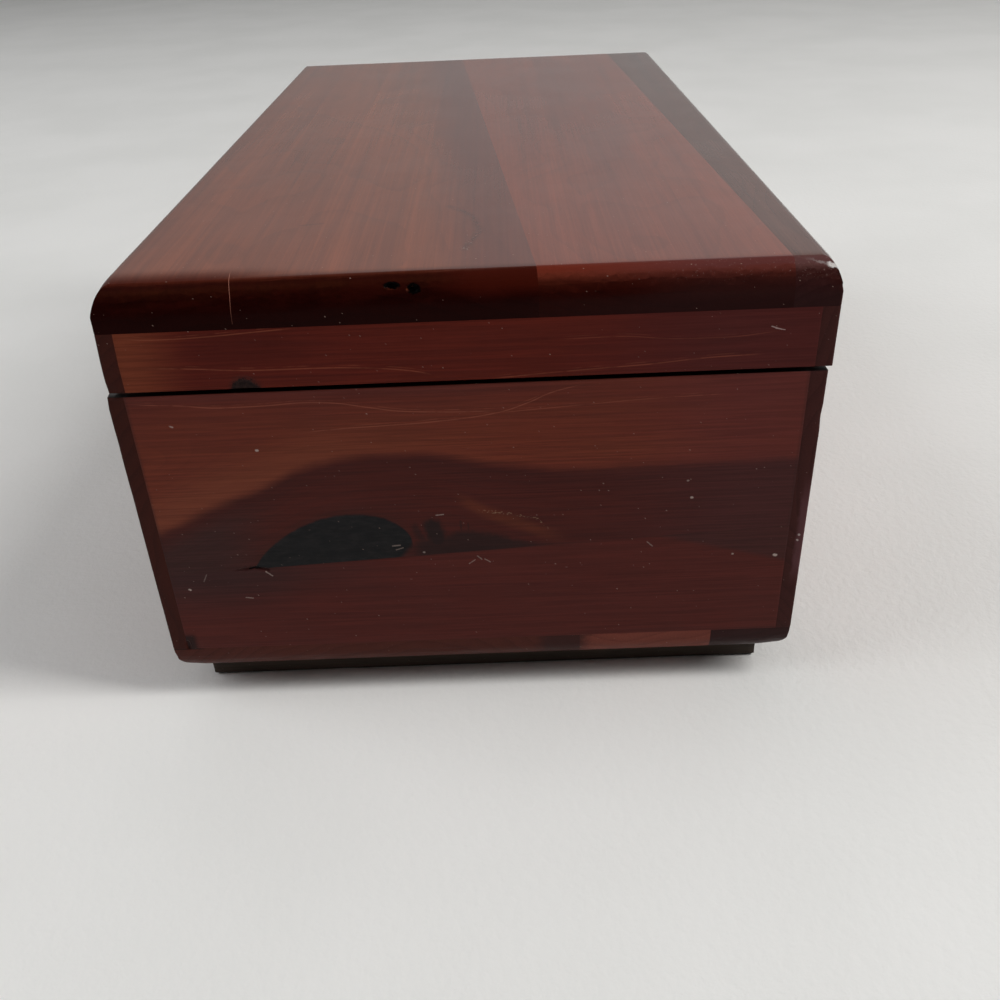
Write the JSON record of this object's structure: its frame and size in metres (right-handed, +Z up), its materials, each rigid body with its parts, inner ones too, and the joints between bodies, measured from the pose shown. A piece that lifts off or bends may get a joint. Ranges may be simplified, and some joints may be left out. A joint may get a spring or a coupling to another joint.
{
  "type": "miniature cedar chest",
  "caption": "Small box of lacquered red cedar boards on two runners, with a lid on brass stop hinges at the back and a keyed box lock in the front.",
  "frame": {"origin": "under the middle of the closed chest's bounding box, on the surface that it stands on", "axes": "+X to the right-hand end, which the picture shows; -Y out of the front with the lock; +Y out of the back with the hinges; +Z up"},
  "size_m": [0.2286, 0.132, 0.0889],
  "materials": {
    "cedar": "glossy lacquer over stained cedar",
    "cedar_dark": "glossy lacquer over dark stained cedar",
    "brass": "aged satin",
    "steel": "dull"
  },
  "bodies": {
    "body": {"front_board": "cedar", "back_board": "cedar", "right_end_upper_stave": "cedar", "right_end_lower_stave": "cedar", "left_end_upper_stave": "cedar", "left_end_lower_stave": "cedar", "bottom_front_stave": "cedar", "bottom_middle_stave": "cedar", "bottom_back_stave": "cedar_dark", "right_runner": "cedar_dark", "left_runner": "cedar_dark", "hinge_left_body_leaf": "brass", "hinge_right_body_leaf": "brass", "hinge_pins": "steel", "hinge_body_screws": "brass", "lock_case": "brass", "lock_cover_plate": "brass", "lock_case_screws": "brass", "lock_escutcheon": "brass", "escutcheon_pins": "brass", "runner_screws": "steel"},
    "lid": {"lid_top_front_stave": "cedar", "lid_top_middle_stave": "cedar", "lid_top_back_stave": "cedar_dark", "lid_front_rail": "cedar", "lid_back_rail": "cedar", "lid_right_rail": "cedar", "lid_left_rail": "cedar", "hinge_left_lid_leaf": "brass", "hinge_right_lid_leaf": "brass", "hinge_lid_screws": "brass", "lock_link_plate": "brass", "link_plate_screws": "brass"},
    "lock_plug": {"lock_plug": "brass"},
    "lock_bolt": {"lock_bolt": "brass"}
  },
  "joints": [
    {"name": "lid_hinge", "type": "hinge", "parent": "body", "child": "lid", "pos_m": [0, 0.0637, 0.0697], "axis": [-1, 0, 0], "range_deg": [0, 100]},
    {"name": "lock_turn", "type": "hinge", "parent": "body", "child": "lock_plug", "pos_m": [0, -0.06445, 0.056], "axis": [0, -1, 0], "range_deg": [0, 90]},
    {"name": "bolt_slide", "type": "slide", "parent": "body", "child": "lock_bolt", "axis": [1, 0, 0], "range_m": [0, 0.0036]}
  ],
  "couplings": [
    {"joint": "bolt_slide", "follows": "lock_turn", "m_per_rad": 0.0022508}
  ]
}
